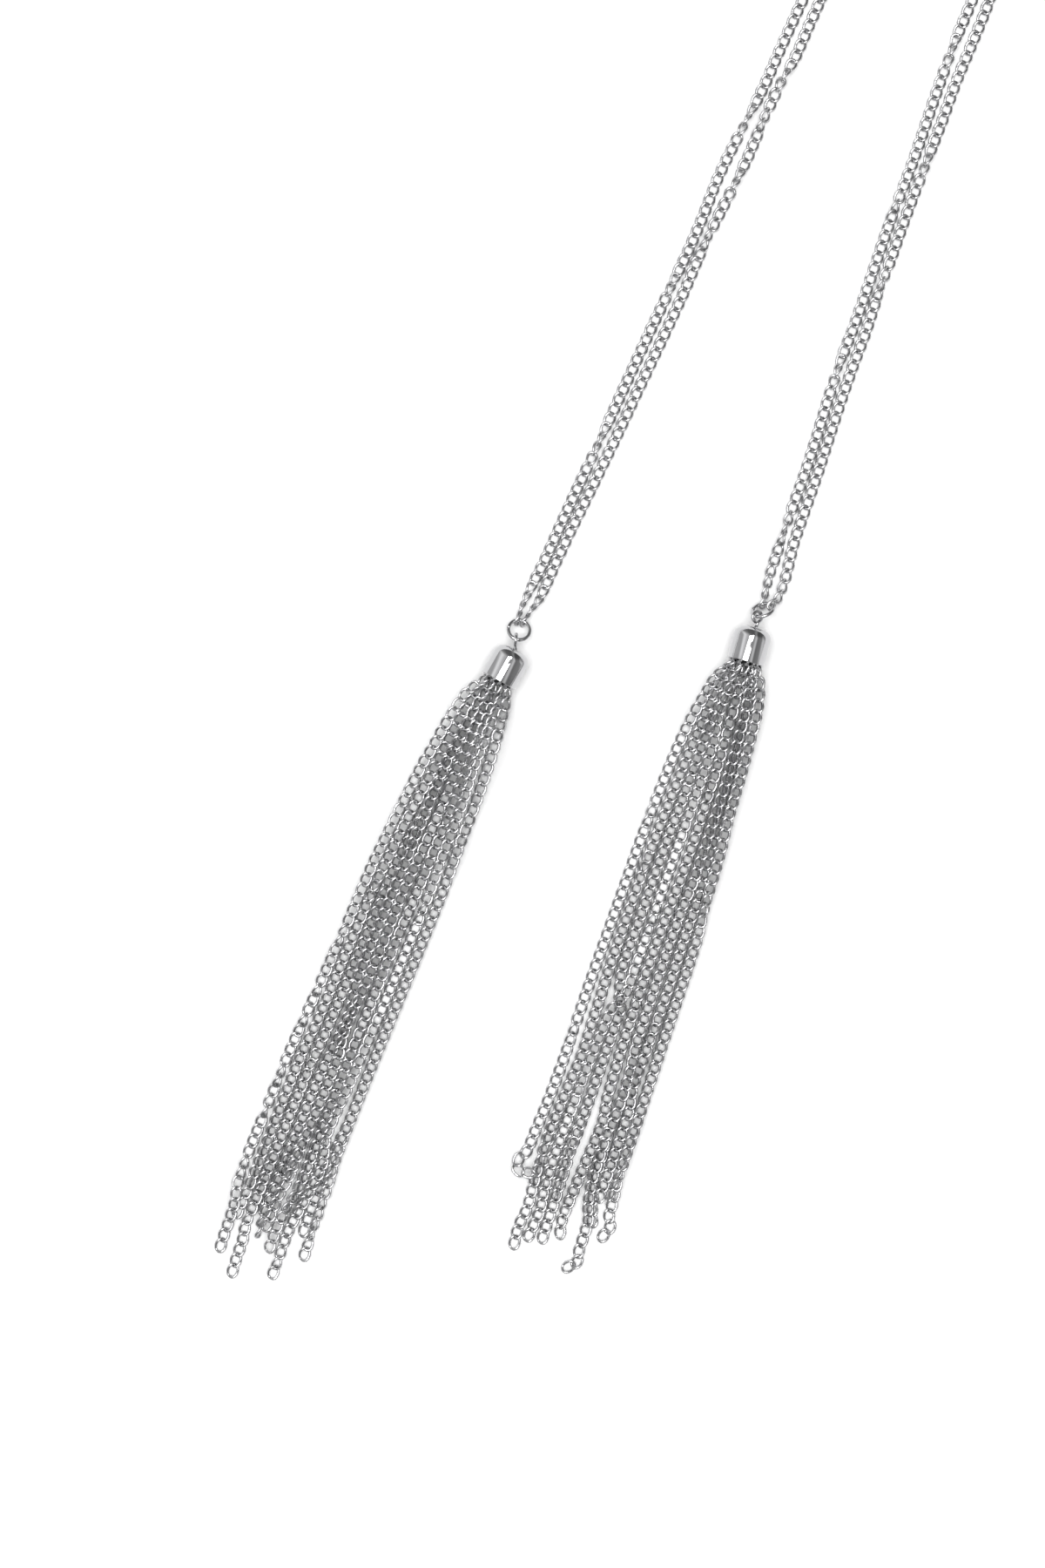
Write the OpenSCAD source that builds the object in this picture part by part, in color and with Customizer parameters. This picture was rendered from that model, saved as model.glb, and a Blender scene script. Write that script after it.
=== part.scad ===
// Lariat necklace, lying on a flat surface.
// Two curb chains run side by side round the neck. Each end of the pair hangs on a jump
// ring, and below it come an eye pin, a bell cap and a tassel of loose chain strands.
// The neck loop points to +Y and the tassels to -Y. Z = 0 is the surface below.

/* [Curb chain] */
// Width of the chain where it lies flat
chain_width = 2.3; // [2:0.1:2.4]
// Height of the chain where it lies flat
chain_height = 1.2; // [1:0.1:1.3]
// Width of the chain where it stands on its edge, next to a jump ring
edge_width = 1.1; // [0.9:0.1:1.2]
// Height of the chain where it stands on its edge
edge_height = 1.8; // [1.5:0.1:2]
// Length of one link over all
link_length = 3.3; // [3.2:0.1:3.4]
// Thickness of the wire of a link
link_wire = 0.55; // [0.45:0.05:0.6]

/* [Jump rings] */
// Outer diameter of a jump ring
ring_diameter = 5.4; // [5.3:0.1:5.5]
// Thickness of its wire
ring_wire = 0.8; // [0.6:0.1:0.8]
// Angle of the saw cut between its ends
ring_slit = 4; // [2:1:8]

/* [Eye pins] */
// Outer diameter of the loop of an eye pin
eye_diameter = 3.2; // [3.1:0.1:3.4]
// Thickness of its wire
eye_wire = 0.8; // [0.6:0.1:0.8]

/* [Bell caps] */
// Outer diameter of a bell cap
cap_diameter = 8; // [7.8:0.1:8.2]
// Height of a bell cap from rim to top
cap_height = 7.5; // [7.2:0.1:7.6]
// Thickness of its wall
cap_wall = 0.4; // [0.3:0.1:0.5]
// Radius of its rounded shoulder
cap_shoulder = 2.2; // [1.6:0.1:2.6]
// Diameter of the hole in its top
cap_hole = 1.2; // [1.1:0.1:1.5]

/* [Tassels] */
// Diameter of the tassel head inside the cap
head_diameter = 6.8; // [6.4:0.1:6.9]
// Width of a strand where it leaves the head
root_width = 1.4; // [1.2:0.1:1.5]
// Height of the strands of the upper layer above the surface
upper_layer = 2; // [2:0.1:2.2]

/* [Hidden] */

$fn = 48;
LEFT = 0;
RIGHT = 1;
OUTER = 1;
INNER = -1;
up = [0, 0, 1];
tube_sides = 8;

silver = [0.80, 0.80, 0.81];
bright_silver = [0.88, 0.88, 0.89];

ring_radius = (ring_diameter - ring_wire) / 2;
eye_radius = (eye_diameter - eye_wire) / 2;
link_half_length = (link_length - link_wire) / 2;
link_half_width = (chain_width - link_wire) / 2;
cap_radius = cap_diameter / 2;

// The middle line between the two chains, from the left ring round the neck to the right
// ring: x, y, distance between the chains, and 0 where they lie flat or 1 on their edge
chain_way = [
    [-23.9, -141.0, 1.4, 1.0],
    [-23.4, -135.0, 1.9, 0.5],
    [-22.8, -126.5, 2.6, 0.0],
    [-21.2, -101.5, 3.0, 0.0],
    [-18.9,  -49.0, 2.9, 0.0],
    [-18.3,  -36.5, 3.7, 0.0],
    [-17.2,  -21.5, 3.1, 0.0],
    [-16.2,   -1.5, 3.5, 0.0],
    [-15.2,   28.0, 3.2, 0.0],
    [-16.0,   48.0, 3.2, 0.0],
    [-19.5,   70.0, 3.2, 0.0],
    [-26.0,   92.0, 3.2, 0.0],
    [-35.0,  114.5, 3.2, 0.0],
    [-46.5,  139.5, 3.2, 0.0],
    [-57.0,  164.0, 3.2, 0.0],
    [-64.5,  190.0, 3.2, 0.0],
    [-67.0,  216.0, 3.2, 0.0],
    [-63.5,  241.0, 3.2, 0.0],
    [-54.0,  263.0, 3.2, 0.0],
    [-40.0,  279.5, 3.2, 0.0],
    [-21.0,  290.0, 3.2, 0.0],
    [  0.0,  293.5, 3.2, 0.0],
    [ 21.0,  290.0, 3.2, 0.0],
    [ 40.0,  279.5, 3.2, 0.0],
    [ 54.0,  263.0, 3.2, 0.0],
    [ 63.5,  241.0, 3.2, 0.0],
    [ 67.0,  216.0, 3.2, 0.0],
    [ 64.5,  190.0, 3.2, 0.0],
    [ 57.0,  164.0, 3.2, 0.0],
    [ 46.5,  139.5, 3.2, 0.0],
    [ 35.0,  114.5, 3.2, 0.0],
    [ 26.3,   92.0, 3.2, 0.0],
    [ 20.2,   71.0, 3.2, 0.0],
    [ 17.2,   50.0, 3.2, 0.0],
    [ 16.9,   32.0, 3.2, 0.0],
    [ 17.5,   12.0, 3.4, 0.0],
    [ 17.9,   -8.0, 3.3, 0.0],
    [ 18.5,  -23.0, 3.1, 0.0],
    [ 18.7,  -38.0, 2.9, 0.0],
    [ 22.2, -102.5, 2.8, 0.0],
    [ 23.1, -112.5, 2.9, 0.5],
    [ 23.6, -118.3, 3.1, 1.0]];

// Jump rings, left then right: centre, direction of the level axis, tilt about that axis,
// and where on the ring the outer chain, the inner chain and the saw cut are
rings = [
    [[-23.5, -144.5, 2.5],  0, 25, 118, 82, 190],
    [[ 22.8, -121.3, 3.2], 40, 55,  20, 75, 140]];

// Eye pins, left then right: centre of the loop, its turn from +Y, its roll, and where
// the shank bends, measured from the rim of the cap
eyes = [
    [[-23.3, -146.8, 3.6], 18, 90, 7.8],
    [[ 22.2, -123.2, 4.5], 20, 35, 8.0]];

// Bell caps and tassels, left then right: centre of the cap's rim, turn of the cap from
// +Y, and turn of the tassel
ends = [
    [[-23.6, -156.2, 4.0], -8, -0.5],
    [[ 23.4, -132.9, 4.0],  6,  4.5]];

// Distances from the rim at which the tables below give a strand's place
strand_marks = [0, 15, 35, 60, 85, 110];

// Strands of a tassel: their places across the tassel at those distances and at the tip,
// their length, and their layer, 1 for the upper one and 0 for the one on the surface
left_strands = [
    [-2.5, -7.1, -9.2, -10.1, -10.8, -10.7,  -8.4, 135, 1],
    [-1.8, -5.0, -6.4,  -7.5,  -7.9,  -7.9,  -8.0, 127, 1],
    [-1.0, -2.9, -3.6,  -3.6,  -2.6,  -2.5,  -2.0, 129, 1],
    [-0.3, -0.8, -0.9,  -1.3,  -1.1,  -0.4,  -1.2, 127, 1],
    [ 0.4,  1.0,  1.3,   1.2,   1.5,   2.0,   1.3, 131, 1],
    [ 1.3,  2.9,  3.6,   3.9,   3.9,   4.7,   4.0, 136, 1],
    [ 2.4,  4.8,  5.9,   6.4,   6.5,   7.3,   8.7, 130, 1],
    [-2.4, -6.3, -8.8,  -9.9, -10.6, -10.5, -10.2, 121, 0],
    [-1.8, -4.4, -6.4,  -7.5,  -8.1,  -8.1,  -8.9, 124, 0],
    [-1.1, -2.6, -4.1,  -5.1,  -5.4,  -5.4,  -4.0, 139, 0],
    [-0.4, -0.9, -1.8,  -2.7,  -2.8,  -2.7,  -1.5, 131, 0],
    [ 0.4,  1.0,  0.6,  -0.3,  -0.3,  -0.2,   0.9, 120, 0],
    [ 1.2,  2.7,  3.0,   2.1,   2.9,   3.2,   4.5, 128, 0],
    [ 2.1,  4.6,  5.4,   4.6,   6.9,   6.8,   7.0, 126, 0]];
right_strands = [
    [-2.5, -7.3, -9.2, -10.3, -11.1, -12.6, -13.6, 117, 1],
    [-1.9, -4.7, -6.4,  -7.5,  -7.8,  -9.6,  -9.4, 134, 1],
    [-1.2, -3.0, -4.0,  -4.9,  -3.3,  -3.9,  -4.1, 131, 1],
    [-0.5, -1.2, -1.6,  -2.3,  -5.5,  -6.9,  -7.1, 132, 1],
    [ 0.3,  0.6,  1.0,   0.2,  -0.2,  -0.2,  -0.6, 129, 1],
    [ 1.1,  2.6,  3.4,   2.9,   2.5,   2.1,   4.3, 135, 1],
    [ 1.6,  4.4,  5.2,   5.5,   4.9,   4.8,   4.7, 119, 1],
    [ 2.4,  6.1,  7.2,   8.1,   7.7,   7.4,   6.7, 127, 1],
    [-2.2, -5.9, -7.9,  -9.1, -10.8, -11.9, -11.2, 121, 0],
    [-1.5, -4.1, -5.4,  -6.7,  -7.3,  -8.9,  -8.6, 127, 0],
    [-0.8, -2.0, -2.9,  -4.2,  -4.7,  -5.6,  -5.7, 126, 0],
    [ 0.0,  0.0, -0.3,  -0.8,  -0.3,  -0.2,   0.1, 126, 0],
    [ 0.9,  2.2,  2.4,   1.7,   2.8,   2.3,   2.6, 124, 0],
    [ 2.0,  4.8,  5.8,   6.9,   7.5,   7.6,   7.9, 123, 0]];
strands = [left_strands, right_strands];

// Rings of a strand's solid, measured from the rim; the tip follows as the last one
strand_rings = [1, 4, 8, 14, 24, 35, 47, 60, 72, 85, 98, 110];
// Least distance from the last of them to the tip
tip_margin = 3;
// Height that each strand lies above the one before it in the table
strand_step = 0.01;
// Distance from the rim over which the strands spread and come down to the surface
spread_length = 15;
drop_length = 18;
// Distance from the rim over which the strands turn from their edge to flat
widen_length = 30;
// How fast the strands spread, and how round the mouth's bundle is
spread_power = 1.8;
bundle_roundness = 0.62;
bundle_radius = 3;
// Ends of the tassel head and of the pin's shank, measured from the rim into the cap
head_foot = 0.3;
head_top = 5.2;
shank_foot = 3.2;
// Play of the shank in the head's socket
socket_play = 0.2;
head_sides = 20;
// Where the strands' roots start: depth in the cap, and how close together
root_depth = 2;
root_squeeze = 0.8;
// How far the first link's middle lies from the ring's wire
end_link_reach = 0.45;
// The ball at the shank's bend is a little thicker than the wire
bend_ball = eye_wire + 0.06;

function unit(v) = v / norm(v);
function mix(low, high, share) = low + (high - low) * share;
function flat_side(v) = unit([v.y, -v.x, 0]);
function turned(v, angle) =
    [v.x * cos(angle) - v.y * sin(angle), v.x * sin(angle) + v.y * cos(angle), v.z];

// Corners of one ring of a tube, which has a level underside
function tube_ring(middle, side, width, height) =
    [for (k = [0 : tube_sides - 1])
        let (angle = 360 * (k + 0.5) / tube_sides, reach = 0.5 / cos(180 / tube_sides))
        middle + side * width * reach * cos(angle) + up * height * reach * sin(angle)];

// Directions of a line of points, each from its neighbours on both sides
function directions(points) =
    [for (i = [0 : len(points) - 1])
        unit(points[min(i + 1, len(points) - 1)] - points[max(i - 1, 0)])];

// A tube swept along points, with a width and a height at each
module swept_tube(points, widths, heights) {
    count = len(points);
    ways = directions(points);
    rings = [for (i = [0 : count - 1])
        tube_ring(points[i], flat_side(ways[i]), widths[i], heights[i])];
    walls = [for (i = [0 : count - 2], k = [0 : tube_sides - 1])
        let (a = i * tube_sides + k, b = i * tube_sides + (k + 1) % tube_sides)
        each [[a, b + tube_sides, a + tube_sides], [a, b, b + tube_sides]]];
    start = [for (k = [0 : tube_sides - 1]) tube_sides - 1 - k];
    finish = [for (k = [0 : tube_sides - 1]) (count - 1) * tube_sides + k];
    polyhedron(points = [for (r = rings) each r], faces = concat(walls, [start, finish]));
}

// A straight rod from one point to another
module rod(from, to, thickness) {
    way = to - from;
    translate(from)
        rotate([0, acos(way.z / norm(way)), atan2(way.y, way.x)])
            cylinder(h = norm(way), d = thickness);
}

// A ring of round wire, with its ends an opening angle apart
module wire_ring(radius, wire, opening = 0) {
    rotate([0, 0, opening / 2])
        rotate_extrude(angle = 360 - opening)
            translate([radius, 0])
                circle(d = wire);
}

// A chain's first link: long along X, with round ends
module end_link() {
    straight = link_half_length - link_half_width;
    for (way = [0, 180])
        rotate([0, 0, way]) {
            translate([straight, 0, 0])
                rotate([0, 0, -90])
                    rotate_extrude(angle = 180)
                        translate([link_half_width, 0])
                            circle(d = link_wire);
            translate([-straight, link_half_width, 0])
                rotate([0, 90, 0])
                    cylinder(h = 2 * straight, d = link_wire);
        }
}

// The level axis of a jump ring and the one that its tilt lowers
function ring_level(end) = [cos(rings[end][1]), sin(rings[end][1]), 0];
function ring_fall(end) =
    let (turn = rings[end][1], tilt = rings[end][2])
    [-sin(turn) * cos(tilt), cos(turn) * cos(tilt), -sin(tilt)];
function ring_point(end, place) =
    rings[end][0] + ring_radius * (ring_level(end) * cos(place) + ring_fall(end) * sin(place));
function ring_tangent(end, place) = ring_fall(end) * cos(place) - ring_level(end) * sin(place);

// One chain's line: the middle line moved half the distance to its own side
function chain_points(side) =
    let (middle = [for (row = chain_way) [row[0], row[1], 0]], ways = directions(middle))
    [for (i = [0 : len(chain_way) - 1])
        middle[i] - side * chain_way[i][2] / 2 * flat_side(ways[i])
            + up * mix(chain_height, edge_height, chain_way[i][3]) / 2];

// Puts a link on the jump ring's wire, in line with the chain's first point
module hook_on(end, place, first_point) {
    wire = ring_point(end, place);
    tangent = ring_tangent(end, place);
    along = unit(first_point - wire);
    across = unit(tangent - (tangent * along) * along);
    third = cross(across, along);
    middle = wire + along * end_link_reach;
    multmatrix([
        [along.x, third.x, across.x, middle.x],
        [along.y, third.y, across.y, middle.y],
        [along.z, third.z, across.z, middle.z],
        [0, 0, 0, 1]])
        children();
}

module chain(side) {
    points = chain_points(side);
    place_column = side == OUTER ? 3 : 4;
    swept_tube(points,
        [for (row = chain_way) mix(chain_width, edge_width, row[3])],
        [for (row = chain_way) mix(chain_height, edge_height, row[3])]);
    hook_on(LEFT, rings[LEFT][place_column], points[0]) end_link();
    hook_on(RIGHT, rings[RIGHT][place_column], points[len(points) - 1]) end_link();
}

module jump_ring(end) {
    translate(rings[end][0])
        rotate([0, 0, rings[end][1]])
            rotate([-rings[end][2], 0, 0])
                rotate([0, 0, rings[end][5]])
                    wire_ring(ring_radius, ring_wire, ring_slit);
}

// Point in a cap: across it, along its axis from the rim, and above the axis
function cap_point(end, across, along, above) =
    ends[end][0] + turned([across, along, above], ends[end][1]);

// Puts things that are drawn upright into a cap, with Z along the cap's axis
module in_cap(end) {
    translate(ends[end][0])
        rotate([0, 0, ends[end][1]])
            rotate([-90, 0, 0])
                children();
}

module eye_pin(end) {
    middle = eyes[end][0];
    turn = eyes[end][1];
    bend = cap_point(end, 0, eyes[end][3], 0);
    foot = cap_point(end, 0, shank_foot, 0);
    base = middle + turned([0, -eye_radius, 0], turn);
    rod(foot, bend, eye_wire);
    translate(bend) sphere(d = bend_ball);
    rod(bend, base, eye_wire);
    translate(middle)
        rotate([0, 0, turn])
            rotate([0, eyes[end][2], 0])
                wire_ring(eye_radius, eye_wire);
}

// Half outline of a bell, upright on its rim, with a rounded shoulder
module bell_outline(radius, height, shoulder) {
    square([radius, height - shoulder]);
    square([radius - shoulder, height]);
    intersection() {
        translate([radius - shoulder, height - shoulder]) circle(r = shoulder);
        square([radius, height]);
    }
}

module bell_cap(end) {
    in_cap(end)
        rotate_extrude()
            difference() {
                bell_outline(cap_radius, cap_height, cap_shoulder);
                bell_outline(cap_radius - cap_wall, cap_height - cap_wall,
                    cap_shoulder - cap_wall);
                square([cap_hole / 2, cap_height + 1]);
            }
}

// Columns of a strand's row
function strand_root(row) = row[0];
function strand_tip(row) = row[6];
function strand_length(row) = row[7];
function strand_is_upper(row) = row[8] == 1;

// Place of a strand across the tassel at a distance from the rim
function strand_across(row, distance) =
    let (
        spread = 1 - pow(1 - min(1, distance / spread_length), spread_power),
        knots = [for (i = [1 : len(strand_marks) - 1])
            if (strand_marks[i] < strand_length(row)) [strand_marks[i], row[i]]])
    distance < spread_length
        ? mix(strand_root(row), row[1], spread)
        : lookup(distance, concat(knots, [[strand_length(row), strand_tip(row)]]));

// Height of a strand: spread round the cap's mouth first, then down to its layer
function mouth_height(row) =
    let (rise = bundle_roundness * sqrt(pow(bundle_radius, 2) - pow(strand_root(row), 2)))
    ends[LEFT][0].z + (strand_is_upper(row) ? rise : -rise);
function layer_height(row) = strand_is_upper(row) ? upper_layer : chain_height / 2;
function strand_height(row, distance) =
    mix(layer_height(row), mouth_height(row), pow(max(0, 1 - distance / drop_length), 2));

// A flattened bead, out of which the strands' roots are blended
module root_bead(width) {
    scale([width, width, chain_height]) sphere(d = 1, $fn = 8);
}

// One strand of a tassel, in the tassel's own frame: X across it, -Y along it
module strand(end, row, lift) {
    tip = strand_length(row);
    marks = concat([for (d = strand_rings) if (d < tip - tip_margin) d], [tip]);
    points = [for (d = marks) [strand_across(row, d), -d, strand_height(row, d) + lift]];
    widths = [for (d = marks) mix(root_width, chain_width, min(1, d / widen_length))];
    swept_tube(points, widths, [for (d = marks) chain_height]);
    hull() {
        translate(points[0]) root_bead(widths[0]);
        translate(turned([strand_root(row) * root_squeeze, root_depth, 0],
                ends[end][1] - ends[end][2])
            + up * mouth_height(row))
            root_bead(root_width);
    }
}

module tassel(end) {
    rim = ends[end][0];
    difference() {
        union() {
            in_cap(end)
                translate([0, 0, head_foot])
                    cylinder(h = head_top - head_foot, d = head_diameter, $fn = head_sides);
            translate([rim.x, rim.y, 0])
                rotate([0, 0, ends[end][2]])
                    for (i = [0 : len(strands[end]) - 1])
                        strand(end, strands[end][i], i * strand_step);
        }
        in_cap(end)
            translate([0, 0, shank_foot - socket_play])
                cylinder(h = head_top, d = eye_wire + 2 * socket_play, $fn = head_sides);
    }
}

module chain_outer() { color(silver) chain(OUTER); }
module chain_inner() { color(silver) chain(INNER); }
module jump_ring_left() { color(bright_silver) jump_ring(LEFT); }
module jump_ring_right() { color(bright_silver) jump_ring(RIGHT); }
module eye_pin_left() { color(bright_silver) eye_pin(LEFT); }
module eye_pin_right() { color(bright_silver) eye_pin(RIGHT); }
module bell_cap_left() { color(bright_silver) bell_cap(LEFT); }
module bell_cap_right() { color(bright_silver) bell_cap(RIGHT); }
module tassel_left() { color(silver) tassel(LEFT); }
module tassel_right() { color(silver) tassel(RIGHT); }

chain_outer();
chain_inner();
jump_ring_left();
jump_ring_right();
eye_pin_left();
eye_pin_right();
bell_cap_left();
bell_cap_right();
tassel_left();
tassel_right();
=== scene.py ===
"""Lariat necklace of silver-tone curb chain, laid out flat on a pale table.

Two chains run side by side round the neck. Each end of the pair hangs on a jump ring, and
below it come an eye pin, a bell cap and a tassel of loose chain strands. The tables are in
millimetres, in the frame of the CAD part; the pieces are in metres.
"""
import math
import random
from functools import partial

import bmesh
import bpy
import numpy as np
from bpy.props import FloatProperty, FloatVectorProperty, IntProperty, PointerProperty
from bpy.types import Operator, Panel, PropertyGroup
from mathutils import Matrix, Vector


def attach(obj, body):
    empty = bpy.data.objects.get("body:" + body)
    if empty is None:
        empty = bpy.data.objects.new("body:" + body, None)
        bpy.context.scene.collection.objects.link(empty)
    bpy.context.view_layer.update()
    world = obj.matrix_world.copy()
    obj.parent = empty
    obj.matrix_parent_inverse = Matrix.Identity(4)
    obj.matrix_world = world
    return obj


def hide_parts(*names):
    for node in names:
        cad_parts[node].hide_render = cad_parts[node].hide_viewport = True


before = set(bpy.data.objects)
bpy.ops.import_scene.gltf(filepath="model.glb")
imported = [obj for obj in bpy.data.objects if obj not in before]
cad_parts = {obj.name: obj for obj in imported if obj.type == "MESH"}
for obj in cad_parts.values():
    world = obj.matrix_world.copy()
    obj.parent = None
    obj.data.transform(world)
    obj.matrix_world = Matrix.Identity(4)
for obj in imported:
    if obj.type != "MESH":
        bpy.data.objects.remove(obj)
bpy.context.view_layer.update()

bl_info = {
    "name": "Lariat Necklace",
    "version": (1, 0, 0),
    "blender": (4, 5, 0),
    "location": "View3D > Sidebar > Lariat",
    "description": "Builds a double-chain lariat necklace with two chain tassels",
    "category": "Add Mesh",
}

MM = 0.001
# The two neck chains, by the side of the pair on which they lie
OUTER, INNER = 1, -1
UP = np.array([0.0, 0.0, 1.0])

# The left half of the loop round the neck, beyond the photo's edge: x, y
HALF_LOOP = (
    (-35, 114.5), (-46.5, 139.5), (-57, 164), (-64.5, 190), (-67, 216), (-63.5, 241),
    (-54, 263), (-40, 279.5), (-21, 290))
# The middle line between the two chains, from the left ring round the neck to the right
# ring: x, y, distance between the chains, and 0 where they lie flat or 1 on their edge
CHAIN_WAY = (
    (-23.9, -141, 1.8, 0.6), (-23.4, -135, 2.4, 0.2), (-22.8, -126.5, 2.6, 0),
    (-21.2, -101.5, 3, 0), (-18.9, -49, 2.9, 0), (-18.3, -36.5, 3.7, 0), (-17.2, -21.5, 3.1, 0),
    (-16.2, -1.5, 3.5, 0), (-15.2, 28, 3.2, 0), (-16, 48, 3.2, 0), (-19.5, 70, 3.2, 0),
    (-26, 92, 3.2, 0), *((x, y, 3.2, 0) for x, y in HALF_LOOP), (0, 293.5, 3.2, 0),
    *((-x, y, 3.2, 0) for x, y in reversed(HALF_LOOP)), (26.3, 92, 3.2, 0),
    (20.2, 71, 3.2, 0), (17.2, 50, 3.2, 0), (16.9, 32, 3.2, 0), (17.5, 12, 3.4, 0),
    (17.9, -8, 3.3, 0), (18.5, -23, 3.1, 0), (18.7, -38, 2.9, 0), (22.2, -102.5, 2.8, 0),
    (23.1, -112.5, 2.9, 0.2), (23.6, -118.3, 3, 0.6))

# Where a chain of a leg sways from that line: y and distance towards +X
LEG_SWAY = {
    ("left", OUTER): (
        (-137, 0), (-129, 0.25), (-121, 0.05), (-113, -0.05), (-97, -0.05), (-81, -0.15),
        (-73, -0.15), (-65, -0.05), (-57, 0.2), (-49, 0.15), (-41, -0.1), (-33, 0.05),
        (-25, -0.15), (-17, 0.05), (-10, -0.05), (-2, 0)),
    ("left", INNER): (
        (-141, 0), (-137, 0.45), (-129, 0), (-121, -0.2), (-105, -0.25), (-97, -0.15),
        (-89, -0.1), (-81, 0.05), (-73, 0.2), (-65, 0.3), (-57, 0.05), (-49, 0.15), (-33, 0.2),
        (-25, -0.1), (-17, -0.25), (-10, 0.25), (-2, 0)),
    ("right", INNER): (
        (-117, 0), (-113, -0.3), (-106, -0.1), (-98, 0.1), (-90, 0.3), (-82, 0.25), (-74, 0),
        (-66, -0.1), (-58, 0.25), (-50, 0.25), (-42, 0.1), (-34, -0.1), (-18, -0.05),
        (-10, -0.1), (-2, -0.3), (6, -0.45), (14, -0.1), (20, 0)),
    ("right", OUTER): (
        (-117, 0), (-113, 0.25), (-106, -0.15), (-98, 0), (-90, 0.15), (-74, 0.05), (-66, 0.1),
        (-58, 0.35), (-50, 0.05), (-42, 0.05), (-34, -0.25), (-26, -0.45), (-18, -0.45),
        (-10, -0.25), (-2, -0.45), (6, -0.25), (14, 0)),
}
# Places of the legs where a few links stand on their edge: y, half length, angle
LEG_TURNS = {
    ("left", OUTER): ((-101.5, 5, 72), (-64.5, 3.5, 60), (-26, 4, 70)),
    ("left", INNER): ((-52.5, 4, -66), (-39, 3.5, 70), (-25, 3, -60), (-14.5, 3, 68)),
    ("right", INNER): ((-103.5, 4, 72), (-68, 3.5, -66), (-31, 3, 60), (4, 4, -70)),
    ("right", OUTER): ((-47.5, 3.5, 68), (-20.5, 3.5, -62)),
}

# Jump rings: centre, direction of the level axis, tilt about that axis, and where on the
# ring the outer chain, the inner chain and the saw cut are
RINGS = {
    "left": ((-23.5, -144.5, 2.5), 0, 25, {OUTER: 118, INNER: 82}, 190),
    "right": ((22.8, -121.3, 3.2), 40, 55, {OUTER: 20, INNER: 75}, 140),
}
# How far the first link's middle lies from the ring's wire
END_LINK_REACH = 0.45

# Eye pins: centre of the loop, its turn from +Y, its roll, and where the shank bends,
# measured from the rim of the cap
EYES = {
    "left": ((-23.3, -146.8, 3.6), 18, 90, 7.8),
    "right": ((22.2, -123.2, 4.5), 20, 35, 8.0),
}

# Bell caps and tassels: centre of the cap's rim, turn of the cap from +Y, and turn of the
# tassel from -Y
ENDS = {
    "left": ((-23.6, -156.2, 4.0), -8, -0.5),
    "right": ((23.4, -132.9, 4.0), 6, 4.5),
}

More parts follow.
